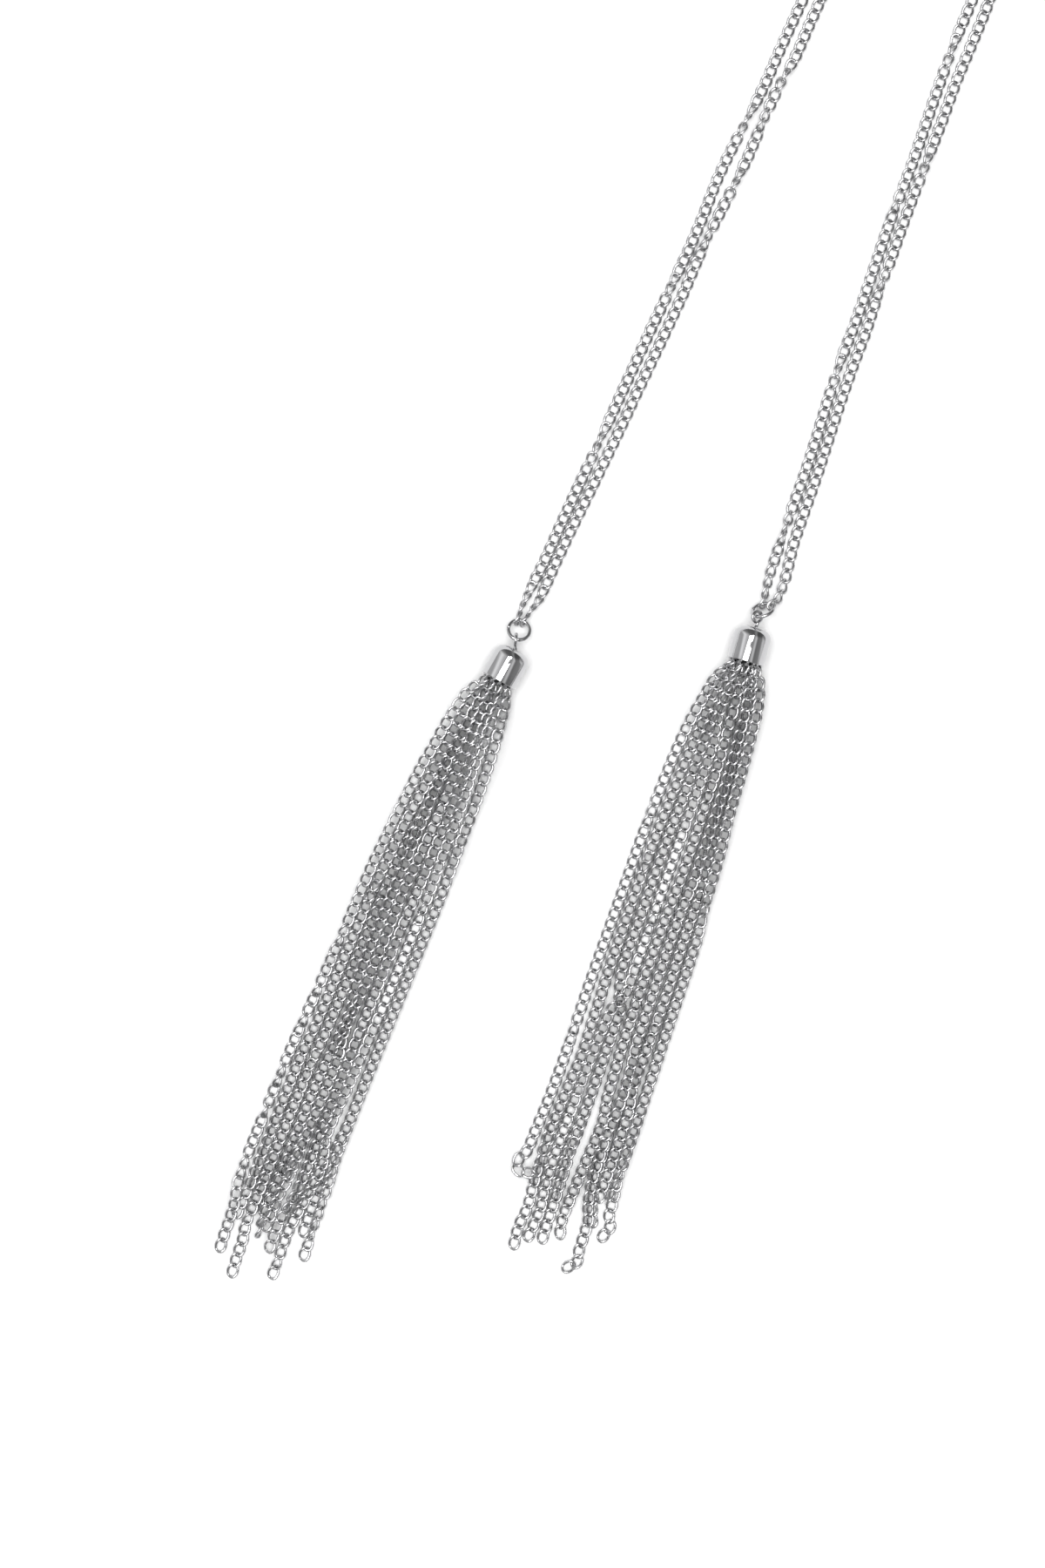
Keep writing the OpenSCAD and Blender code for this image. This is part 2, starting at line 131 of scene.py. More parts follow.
# Strands of a tassel in the order in which they lie. The first six are the lower layer: the
# strand above each, by how many links it is shorter, and how far it strays from under it near
# its end. The others run from the cap's rim to their last link: distance from the rim and
# place across the tassel, in the tassel's own frame
STRANDS = {
    "left": (
        (6, 6, 0), (7, 3, 0.9), (8, 2, -0.5), (9, 5, -1.1), (10, 4, 0.9), (13, 2, -1.8),
        ((0, -1.1), (5, -1.9), (15, -2.6), (35, -4.1), (45, -5.2), (78, -5.2), (95, -5.6),
         (114, -5.4), (127, -5.4), (129.5, -4.8), (134, -4.5), (139, -4)),
        ((0, -1.8), (5, -3.6), (10, -4.4), (18, -5.1), (31, -6.3), (40, -7), (47, -7.4),
         (60, -7.7), (80, -7.8), (90, -8.2), (112, -7.9), (121, -7.8), (127, -8)),
        ((0, -1), (5, -2.1), (15, -2.9), (20, -3.5), (45, -3.5), (68, -3.5), (72, -3.1),
         (77, -2.3), (97, -3), (104, -2.7), (114, -2.4), (125, -2.5), (129, -2)),
        ((0, -0.3), (5, -0.6), (15, -0.8), (36, -0.9), (49, -1.4), (64, -1.2), (81, -1.6),
         (88, -0.7), (113, -0.6), (119, -1.2), (127, -1.2)),
        ((0, 0.4), (5, 0.8), (15, 1), (35, 1.3), (65, 1.2), (82, 1.4), (114, 2.1), (125, 1),
         (131, 1.2)),
        ((0, 1.3), (5, 2), (12, 2.2), (19, 2.3), (27, 3), (40, 3.5), (54, 3.9), (74, 3.9),
         (88, 3.7), (102, 3.2), (110, 4.9), (118, 4.2), (125, 3.5), (132, 3.9), (136, 4)),
        ((0, -2.5), (5, -5.2), (10, -6.2), (14, -6.9), (18, -7.3), (22, -8), (31, -8.7),
         (40, -9.3), (47, -9.7), (60, -9.9), (79, -10.5), (90, -10.8), (112, -10.7),
         (119, -10.3), (124, -9.2), (131, -8.8), (135, -8.4)),
        ((0, 2.4), (4, 3.4), (8, 4), (16, 4.9), (25, 5.5), (38, 5.9), (48, 6.3), (62, 6.4),
         (84, 6.5), (106, 6.9), (112, 7.5), (121, 8.2), (130, 8.7))),
    "right": (
        (6, 3, 0), (7, 6, 0.9), (8, 4, -0.9), (10, 3, 0), (11, 5, 0.9), (12, 4, -1),
        ((0, 1.6), (5, 3.1), (15, 4.4), (30, 5), (45, 5.2), (50, 5.8), (58, 5.5), (73, 5.4),
         (84, 5), (93, 4.5), (99, 5.3), (108, 5.1), (119, 4.8)),
        ((0, -1.9), (5, -3.9), (9, -4.6), (14, -4.7), (22, -5.5), (29, -6), (37, -6.6),
         (46, -7.1), (57, -7.5), (72, -7.8), (88, -7.8), (98, -8.7), (111, -9.7), (118, -9.5),
         (124, -9.1), (129, -9.7), (134, -9.4)),
        ((0, -1.2), (5, -2.1), (15, -3.1), (34, -3.9), (47, -4.5), (58, -4.8), (69, -5.2),
         (75.5, -4), (78, -3), (88, -3.2), (104, -3.7), (112, -4), (131, -4.1)),
        ((0, -0.5), (5, -1.3), (12, -2), (19, -1.2), (38, -1.6), (54, -2.1), (67, -2.5),
         (74, -2.8), (79.5, -5), (84, -5.4), (92, -6), (104, -6.6), (118, -7), (124, -6.4),
         (131.5, -7.2)),
        ((0, 0.3), (8, 0.6), (18, 1), (30, 1.2), (46, 1), (56, 0.4), (67, 0), (82, -0.2),
         (96, 0), (102, 0.6), (113, -0.4), (125, -1.3), (129, -0.6)),
        ((0, 1.1), (5, 2.4), (12, 3.3), (25, 3.8), (46, 3.6), (57, 3), (68, 2.7), (83, 2.5),
         (92, 3), (101, 2.8), (104, 2.2), (113, 2.2), (119, 2.8), (124, 4.1), (130, 4.1),
         (132.2, 4.4), (133.6, 3.4), (133.8, 1.2)),
        ((0, 2.4), (4, 4.5), (10, 5.7), (15, 6), (23, 6.4), (32, 6.6), (40, 7.2), (52, 7.5),
         (60, 8.1), (70, 8), (83, 7.8), (101, 7.6), (112, 7.4), (118, 7.8), (121, 8),
         (123.2, 8.9), (125, 8.2), (126.3, 6.7)),
        ((0, -2.5), (5, -5), (10, -6.2), (14.5, -7.2), (19, -7.8), (27, -8.6), (34, -9.1),
         (42, -9.6), (53, -10), (66, -10.5), (77, -10.9), (90, -11.2), (97, -11.5),
         (103, -11.9), (108, -12.4), (112, -12.7), (114, -13.2), (115.4, -14.1), (117.2, -13.2),
         (117.2, -11.5), (116, -9.5))),
}
# Strands that have links on their edge at measured places: distance, half length, angle
STRAND_TURNS = {
    ("left", 12): (
        (64, 3, 60), (76, 2.5, 55), (84, 2.5, 60), (96, 3, 70), (104, 2.5, 80), (117, 3, 60)),
    ("left", 13): ((116, 3, 60), (122, 4, 75)),
    ("left", 8): ((128, 5, 85),),
}


def clear_selection():
    """Leaves nothing selected, so that the next operator acts on its own piece alone."""
    if bpy.context.mode != "OBJECT":
        bpy.ops.object.mode_set(mode="OBJECT")
    bpy.ops.object.select_all(action="DESELECT")


def select_corners(piece, test):
    """Selects the corners of a piece in edit mode whose place passes the test."""
    mesh = bmesh.from_edit_mesh(piece.data)
    for corner in mesh.verts:
        corner.select = bool(test(corner.co))
    mesh.select_flush(True)
    mesh.select_flush(False)
    bmesh.update_edit_mesh(piece.data)


def apply_modifier(piece, name, kind, **settings):
    """Adds a modifier to a piece, sets it and applies it."""
    modifier = piece.modifiers.new(name, kind)
    for key, value in settings.items():
        setattr(modifier, key, value)
    bpy.ops.object.modifier_apply(modifier=modifier.name)


def put_in_place(piece, place):
    """Moves a modelled piece by a matrix that ends up in its mesh."""
    piece.data.transform(place)
    piece.data.update()


def placing(centre, *turns):
    """Matrix that turns a piece about its axes, the last one first, and moves it to its place."""
    place = Matrix.Translation(centre)
    for angle, axis in turns:
        place = place @ Matrix.Rotation(math.radians(angle), 4, axis)
    return place


def finish_piece(piece, name, metal, slot, *nodes):
    """Names a finished piece, gives it its metal and ties it to the CAD part."""
    piece.name = name
    piece.data.name = name
    piece.data.materials.clear()
    piece.data.materials.append(metals(bpy.context.scene)[metal])
    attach(piece, "root")
    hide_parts(*nodes)
    return piece


# Lines along which the chains are laid

def unit(vector):
    """The vector's direction, with length one."""
    return vector / np.linalg.norm(vector)


def eased(knots, values, at):
    """A smooth line through the values at the knots that doesn't overshoot them."""
    knots, values = np.asarray(knots, float), np.asarray(values, float)
    step = np.diff(knots)
    rise = np.diff(values) / step
    slope = np.empty(len(knots))
    slope[0], slope[-1] = rise[0], rise[-1]
    same = rise[:-1] * rise[1:] > 0
    total = np.where(same, rise[:-1] + rise[1:], 1)
    slope[1:-1] = np.where(same, 2 * rise[:-1] * rise[1:] / total, 0)
    at = np.clip(at, knots[0], knots[-1])
    k = np.clip(np.searchsorted(knots, at, side="right") - 1, 0, len(step) - 1)
    t = (at - knots[k]) / step[k]
    return (values[k] * (1 + 2 * t) * (1 - t) ** 2 + slope[k] * step[k] * t * (1 - t) ** 2
            + values[k + 1] * t * t * (3 - 2 * t) + slope[k + 1] * step[k] * t * t * (t - 1))


def distance_run(line):
    """How far along a row of points each one lies, seen from above."""
    return np.concatenate([[0], np.cumsum(np.linalg.norm(np.diff(line[:, :2], axis=0), axis=1))])


def smooth_line(corners, step=0.1):
    """Dense points of a smooth line through rows of numbers whose first two are a place."""
    corners = np.asarray(corners, float)
    run = distance_run(corners)
    at = np.arange(0, run[-1], step)
    return np.stack([eased(run, column, at) for column in corners.T], axis=1)


def walk(line, pitch):
    """Rows of a dense line at equal steps, as near the pitch as fits from end to end."""
    run = distance_run(line)
    count = int(round(run[-1] / pitch))
    at = np.linspace(0, run[-1], count + 1)
    return np.stack([np.interp(at, run, column) for column in line.T], axis=1)


def directions(points):
    """Directions of a row of points, each from its neighbours on both sides."""
    ahead = np.concatenate([points[1:], points[-1:]]) - np.concatenate([points[:1], points[:-1]])
    return ahead / np.linalg.norm(ahead, axis=1)[:, None]


def humps(at, turns, foot=1.35):
    """Angles along a line from turns that each rise to their own and fade on both sides.

    A turn ends at its foot, so many of its half lengths from its middle.
    """
    total = np.zeros(len(at))
    for middle, reach, angle in turns:
        near = np.clip(1 - np.abs(at - middle) / (reach * foot), 0, 1)
        total += angle * near * near * (3 - 2 * near)
    return total


def loose_turns(chance, length, spacing, low, high):
    """Places where loose links turn on their edge, drawn at random along a length."""
    turns, at = [], chance.uniform(0.3, 1) * spacing
    while at < length:
        reach, way = chance.uniform(2.5, 5), chance.choice((-1, 1))
        turns.append((at, reach, way * chance.uniform(low, high)))
        at += chance.uniform(0.5, 1.5) * spacing
    return turns


def add_small_rolls(rolls, chance, run, phase, slow, quick, most=3):
    """Adds a slow and a quick sway to the rolls, and a little chance."""
    rolls += (slow[0] * np.sin(run / slow[1] + phase)
              + quick[0] * np.sin(run / quick[1] + 2 * phase))
    rolls += [chance.uniform(-most, most) for _ in run]


def between(rows, parts=5):
    """Rows with more of them put in between, on straight lines."""
    at = np.arange((len(rows) - 1) * parts + 1) / parts
    return np.stack([np.interp(at, np.arange(len(rows)), column) for column in rows.T], axis=1)


def link_half_height(links, roll, corner=0.72):
    """Half the height of a link that is rolled by an angle, in millimetres.

    The corner is how far out the link is still at its full height, as a share of its width.
    """
    flat, wide = links.height / MM / 2, links.width / MM / 2
    rise, level = abs(np.sin(np.radians(roll))), abs(np.cos(np.radians(roll)))
    return np.maximum(wide * rise, corner * wide * rise + flat * level)


def link_half_breadth(links, roll):
    """Half the breadth of a rolled link seen from above, in millimetres."""
    flat, wide = links.height / MM / 2, links.width / MM / 2
    return np.hypot(wide * np.cos(np.radians(roll)), flat * np.sin(np.radians(roll)))


def draped(heights, spacing, steepest):
    """Heights of a chain that hangs over its high points no steeper than it can."""
    out = heights.copy()
    fall = steepest * spacing
    for i in range(1, len(out)):
        out[i] = max(out[i], out[i - 1] - fall)
    for i in range(len(out) - 2, -1, -1):
        out[i] = max(out[i], out[i + 1] - fall)
    return out


# Rings, loops and the chains' ends on them

def hook_on(end, chain, first_point, ring_radius):
    """Middle and wide side of the link that a chain hangs on its jump ring."""
    centre, turn, tilt, hooks, _ = RINGS[end]
    turn, tilt, place = (math.radians(angle) for angle in (turn, tilt, hooks[chain]))
    level = np.array([math.cos(turn), math.sin(turn), 0])
    fall = np.array([-math.sin(turn) * math.cos(tilt), math.cos(turn) * math.cos(tilt),
                     -math.sin(tilt)])
    wire = np.array(centre) + ring_radius * (level * math.cos(place) + fall * math.sin(place))
    tangent = fall * math.cos(place) - level * math.sin(place)
    along = unit(first_point - wire)
    across = unit(tangent - (tangent @ along) * along)
    return wire + along * END_LINK_REACH, np.cross(across, along)


# Links and strands

LengthProperty = partial(FloatProperty, unit="LENGTH", precision=5)
AngleProperty = partial(FloatProperty, subtype="ANGLE")
ShareProperty = partial(FloatProperty, min=0, max=1, subtype="FACTOR")
ColourProperty = partial(FloatVectorProperty, subtype="COLOR", size=3)


class CurbLinkSizes(PropertyGroup):
    """Sizes of the links that every chain is made of."""
    length: LengthProperty(name="Length", description="Length of a link over all", default=0.0035)
    straightness: FloatProperty(
        name="Straightness", description="How straight the long sides are",
        default=0.72, min=0.5, max=1)
    bluntness: FloatProperty(
        name="Bluntness", description="How blunt the ends are", default=0.65, min=0.5, max=1)
    width: LengthProperty(name="Width", description="Width of a link over all", default=0.0027)
    height: LengthProperty(
        name="Height", description="Height of the twisted link lying flat", default=0.00114)
    wire: LengthProperty(name="Wire", description="Thickness of the wire", default=0.0006)
    pitch: LengthProperty(name="Pitch", description="Distance from link to link", default=0.00233)
    twist: AngleProperty(
        name="Twist", description="Turn of a link's end against its middle",
        default=math.radians(35))
    sides: IntProperty(name="Sides", description="Corners round one link", default=16, min=12)


class FindingSizes(PropertyGroup):
    """Sizes of the jump rings, eye pins and bell caps."""
    ring_diameter: LengthProperty(
        name="Ring", description="Outer diameter of a jump ring", default=0.0054)
    ring_wire: LengthProperty(
        name="Ring wire", description="Thickness of a jump ring's wire", default=0.0008)
    ring_slit: AngleProperty(
        name="Saw cut", description="Opening between the ring's ends", default=math.radians(5))
    eye_diameter: LengthProperty(
        name="Eye", description="Outer diameter of an eye pin's loop", default=0.0032)
    eye_wire: LengthProperty(
        name="Eye wire", description="Thickness of an eye pin's wire", default=0.0008)
    cap_diameter: LengthProperty(
        name="Cap", description="Outer diameter of a bell cap", default=0.008)
    cap_height: LengthProperty(
        name="Cap height", description="Height from rim to top", default=0.0075)
    cap_wall: LengthProperty(name="Cap wall", description="Thickness of the sheet", default=0.0004)
    cap_shoulder: LengthProperty(
        name="Cap shoulder", description="Radius of the round shoulder", default=0.0022)
    cap_hole: LengthProperty(
        name="Cap hole", description="Diameter of the hole in the top", default=0.0012)


class SilverFinish(PropertyGroup):
    """Colour and polish of the silver-tone metal."""
    silver: ColourProperty(
        name="Silver", description="Colour of the clean plating", default=(0.56, 0.56, 0.57))
    tarnish: ColourProperty(
        name="Tarnish", description="Colour where it is duller", default=(0.30, 0.30, 0.31))
    # Brighter colour painted on the links' crests: a painted highlight that makes the dots at the
    # joints shine, not wear. The crests' roughness spreads it wider
    highlighted: ColourProperty(
        name="Highlighted", description="Colour of the links' rubbed crests",
        default=(0.90, 0.90, 0.90))
    crest_roughness: ShareProperty(
        name="Rubbed roughness", description="Roughness of the crests", default=0.38)
    polish: ShareProperty(
        name="Roughness", description="Roughness of the polished metal", default=0.2)


class StudioLook(PropertyGroup):
    """The table, the lights and the camera."""
    table: ColourProperty(
        name="Table", description="Colour of the table", default=(0.93, 0.93, 0.93))
    ambient: FloatProperty(
        name="Ambient", description="Strength of the light all round", default=1.2, min=0)
    softbox: FloatProperty(
        name="Softboxes", description="Brightness of the soft lights", default=9.6, min=0)
    cloth: FloatProperty(
        name="Cloth", description="Brightness of the wide cloth above", default=4.6, min=0)
    distance: LengthProperty(
        name="Camera distance", description="Height of the camera", default=0.787)


def model_link(links, crest_foot=0.48):
    """One curb link: a ring drawn out to a long oval, twisted about its length and pressed.

    The crests begin where the twisted link is higher than the foot's share of its height; the
    crest attribute marks where the painted highlight goes.
    """
    clear_selection()
    half = Vector(((links.length - links.wire) / 2, (links.width - links.wire) / 2, 0))
    bpy.ops.curve.primitive_bezier_circle_add(radius=1)
    link = bpy.context.object
    oval = link.data
    for knot in oval.splines[0].bezier_points:
        knot.handle_left_type = knot.handle_right_type = "FREE"
        reach = links.bluntness if abs(knot.co.x) > 0.5 else links.straightness
        ahead = Vector((knot.co.y, -knot.co.x, 0)) * reach
        knot.handle_right = (knot.co + ahead) * half
        knot.handle_left = (knot.co - ahead) * half
        knot.co = knot.co * half
    oval.resolution_u = links.sides // 4
    oval.bevel_depth = links.wire / 2
    oval.bevel_resolution = 1
    bpy.ops.object.convert(target="MESH")
    link = bpy.context.object
    reach = links.length / (links.length - links.wire)
    apply_modifier(link, "Twist", "SIMPLE_DEFORM", deform_method="TWIST", deform_axis="X",
                   angle=2 * links.twist * reach)
    # Mask of the painted highlight on the links' crests, strongest on the highest corners
    foot = crest_foot * links.height
    rise = [max(0, abs(corner.co.z) - foot) for corner in link.data.vertices]
    crest = link.data.attributes.new("crest", "FLOAT", "POINT")
    crest.data.foreach_set("value", [value / max(rise) for value in rise])
    bpy.ops.object.mode_set(mode="EDIT")
    for face in (1, -1):
        level = face * links.height / 2
        select_corners(link, lambda co: face * (co.z - level) > 0)
        bpy.ops.transform.resize(value=(1, 1, 0), center_override=(0, 0, level))
    bpy.ops.object.mode_set(mode="OBJECT")
    bpy.ops.object.shade_smooth()
    link.data.attributes.new("link_tone", "FLOAT", "POINT")
    return link


def string_links(link, centres, sides, chance):
    """Copies of the link along the centres, each with its own mesh, joined as one strand."""
    clear_selection()
    ways = directions(centres)
    copies = []
    for centre, along, side in zip(centres, ways, sides):
        across = unit(side - (side @ along) * along)
        normal = np.cross(along, across)
        mesh = link.data.copy()
        place = np.eye(4)
        place[:3] = np.column_stack([along, across, normal, centre * MM])
        mesh.transform(Matrix(place))
        tones = [chance.random()] * len(mesh.vertices)
        mesh.attributes["link_tone"].data.foreach_set("value", tones)
        copy = bpy.data.objects.new("link", mesh)
        bpy.context.collection.objects.link(copy)
        copy.select_set(True)
        copies.append(copy)
    bpy.context.view_layer.objects.active = copies[0]
    bpy.ops.object.join()
    return bpy.context.object


def rolled_sides(ways, rolls):
    """The wide side of each link: level and across the chain, then rolled about it."""
    level = np.cross(ways, UP)
    level /= np.linalg.norm(level, axis=1)[:, None]
    raised = np.cross(level, ways)
    rolls = np.radians(rolls)[:, None]
    return level * np.cos(rolls) + raised * np.sin(rolls)


# Metals

def fill_inputs(tree, node, inputs):
    """Gives each named or numbered input of a node its value, or a link to a socket."""
    for name, value in inputs.items():
        if isinstance(value, bpy.types.NodeSocket):
            tree.links.new(value, node.inputs[name])
        else:
            node.inputs[name].default_value = value


def add_node(tree, kind, inputs=None, **settings):
    """A new shader node with its settings and its inputs."""
    node = tree.nodes.new("ShaderNode" + kind)
    for key, value in settings.items():
        setattr(node, key, value)
    fill_inputs(tree, node, inputs or {})
    return node


def wear_group():
    """Shader group: a duller mask, a roughness and fine scratches for polished metal."""
    group = bpy.data.node_groups.new("Silver wear", "ShaderNodeTree")
    for name, value in (("Patch scale", 300.0), ("Dullness", 0.3), ("Roughness", 0.12),
                        ("Scratch scale", 2500.0), ("Tone", 0.5)):
        socket = group.interface.new_socket(name, in_out="INPUT", socket_type="NodeSocketFloat")
        socket.default_value = value
    for name in ("Dull", "Roughness", "Scratches"):
        group.interface.new_socket(name, in_out="OUTPUT", socket_type="NodeSocketFloat")
    given = group.nodes.new("NodeGroupInput").outputs
    place = add_node(group, "TexCoord").outputs["Object"]
    patches = add_node(group, "TexNoise", {
        "Vector": place, "Scale": given["Patch scale"], "Detail": 3})
    spread = add_node(group, "MapRange", {
        "Value": patches.outputs["Fac"], "From Min": 0.4, "From Max": 0.75})
    toned = add_node(group, "Math", {
        0: given["Tone"], 1: 0.45, 2: spread.outputs["Result"]}, operation="MULTIPLY_ADD")
    dull = add_node(group, "Math", {
        0: toned.outputs[0], 1: given["Dullness"]}, operation="MULTIPLY", use_clamp=True)
    rough = add_node(group, "Math", {
        0: dull.outputs[0], 1: 0.35, 2: given["Roughness"]}, operation="MULTIPLY_ADD")
    stretch = add_node(group, "Mapping", {
        "Vector": place, "Scale": (1.0, 0.12, 0.6), "Rotation": (0.0, 0.0, 0.5)})
    scratches = add_node(group, "TexNoise", {
        "Vector": stretch.outputs["Vector"], "Scale": given["Scratch scale"], "Detail": 2})
    fill_inputs(group, group.nodes.new("NodeGroupOutput"), {
        "Dull": dull.outputs[0], "Roughness": rough.outputs[0],
        "Scratches": scratches.outputs["Fac"]})
    return group


def silver_metal(name, finish, wear, dullness, roughness, bump, patch_scale, scratch_scale,
                 toned=False):
    """A silver-tone metal whose wear comes from the shared group. A toned one also gets a random
    tone per link and a painted highlight on the links' crests.
    """
    material = bpy.data.materials.new(name)
    material.use_nodes = True
    tree = material.node_tree
    worn = add_node(tree, "Group", {
        "Dullness": dullness, "Roughness": roughness, "Patch scale": patch_scale,
        "Scratch scale": scratch_scale}, node_tree=wear)
    shade = add_node(tree, "Mix", {
        "Factor": worn.outputs["Dull"], "A": (*finish.silver, 1), "B": (*finish.tarnish, 1)},
        data_type="RGBA").outputs["Result"]
    gloss = worn.outputs["Roughness"]
    if toned:
        tone = add_node(tree, "Attribute", attribute_name="link_tone")
        fill_inputs(tree, worn, {"Tone": tone.outputs["Fac"]})
        # Painted highlight: the crests get a brighter colour, so that the dots at the joints
        # shine, and a rougher finish that spreads them
        crest = add_node(tree, "Attribute", attribute_name="crest").outputs["Fac"]
        shade = add_node(tree, "Mix", {
            "Factor": crest, "A": shade, "B": (*finish.highlighted, 1)},
            data_type="RGBA").outputs["Result"]
        gloss = add_node(tree, "Mix", {
            "Factor": crest, "A": gloss, "B": finish.crest_roughness}).outputs["Result"]
    relief = add_node(tree, "Bump", {
        "Strength": bump, "Distance": 0.00002, "Height": worn.outputs["Scratches"]})
    fill_inputs(tree, tree.nodes["Principled BSDF"], {
        "Base Color": shade, "Metallic": 1.0, "Roughness": gloss,
        "Normal": relief.outputs["Normal"]})
    return material


def metals(scene):
    """The four finishes, made once and then found again by name."""
    if "Curb link silver" not in bpy.data.materials:
        finish, wear = scene.lariat_finish, wear_group()
        # Each with its dullness, roughness, relief, patch scale and scratch scale
        for name in ("Curb link silver", "Tassel link silver"):
            silver_metal(name, finish, wear, 0.4, finish.polish, 0.15, 260, 1800, toned=True)
        silver_metal("Round wire silver", finish, wear, 0.25, 0.08, 0.12, 300, 1500)
        silver_metal("Bell cap silver", finish, wear, 0.1, 0.05, 0.03, 160, 900)
    return bpy.data.materials


class LARIAT_OT_neck_chains(Operator):
    """Lay the two curb chains from the left jump ring round the neck to the right one."""
    bl_idname = "lariat.neck_chains"
    bl_label = "Neck Chains"

    # Half the height of a chain that is led on its edge, and its steepest fall from a high point
    edge = 0.9
    steepest = 0.3
    # The photographed turns lie below the first of these y, the random ones above the second
    seen, unseen = 12, 14
    # Random turns: distance from one to the next, least and greatest angle
    loose = (55, 40, 75)
    # Slow and quick sway of the rolls: angle and length of each
    small_rolls = ((5, 9.0), (3, 3.7))
    # Links over which a chain turns towards the way that it hangs on its ring
    reach = 4

    def execute(self, context):
        scene = context.scene
        links, findings = scene.lariat_links, scene.lariat_findings
        link = model_link(links)
        ring_radius = (findings.ring_diameter - findings.ring_wire) / 2 / MM
        for side, name in ((OUTER, "chain_outer"), (INNER, "chain_inner")):
            chance = random.Random(f"{name} links")
            centres, sides = self.lay(side, links, ring_radius, chance)
            chain = string_links(link, centres, sides, chance)
            finish_piece(chain, f"curb_{name}", "Curb link silver", "curb_chain", name)
        bpy.data.objects.remove(link)
        return {"FINISHED"}

    def lay(self, side, links, ring_radius, chance):
        """Places and wide sides of all the links of one chain."""
        way = np.array(CHAIN_WAY)
        ahead = directions(way[:, :2])
        across = np.stack([ahead[:, 1], -ahead[:, 0]], axis=1)
        points = way[:, :2] - side * way[:, 2:3] / 2 * across
        pitch, flat = links.pitch / MM, links.height / MM / 2
        heights = flat + (self.edge - flat) * way[:, 3]
        rows = np.column_stack([points, heights, way[:, 3] * 90])
        first, first_side = hook_on("left", side, rows[0, :3], ring_radius)
        last, last_side = hook_on("right", side, rows[-1, :3], ring_radius)
        rows = np.vstack([[*first, 90], rows, [*last, 90]])
        line = smooth_line(rows)
        left = line[:, 0] < 0
        for leg, here in (("left", left), ("right", ~left)):
            marks, sways = zip(*LEG_SWAY[leg, side])
            sway = np.interp(line[:, 1], marks, sways, left=0, right=0)
            line[:, 0] += np.where(here, sway, 0)
        stops = walk(line, pitch)
        rolls = stops[:, 3].copy()
        for leg, here in (("left", stops[:, 0] < 0), ("right", stops[:, 0] > 0)):
            turned = humps(stops[:, 1], LEG_TURNS[leg, side])
            rolls += np.where(here & (stops[:, 1] < self.seen), turned, 0)
        run = np.arange(len(stops)) * pitch
        hidden = np.where(stops[:, 1] > self.unseen, 1.0, 0.0)
        rolls += hidden * humps(run, loose_turns(chance, run[-1], *self.loose))
        add_small_rolls(rolls, chance, run, side, *self.small_rolls)
        half = link_half_height(links, rolls)
        heights = draped(np.maximum(stops[:, 2], half), pitch, self.steepest)
        centres = np.column_stack([stops[:, :2], heights])
        centres[0], centres[-1] = first, last
        ways = directions(centres)
        sides = rolled_sides(ways, rolls)
        self.ease_to_ring(sides, ways, first_side, last_side)
        return centres, sides

    def ease_to_ring(self, sides, ways, first_side, last_side):
        """Turns the last few links towards the way that the end links hang on the rings."""
        for order, target in ((range(self.reach), first_side),
                              (range(-1, -self.reach - 1, -1), last_side)):
            for step, i in enumerate(order):
                share = 1 - step / self.reach
                wanted = target if target @ sides[i] > 0 else -target
                sides[i] = unit(wanted * share + sides[i] * (1 - share))
                sides[i] = unit(sides[i] - (sides[i] @ ways[i]) * ways[i])


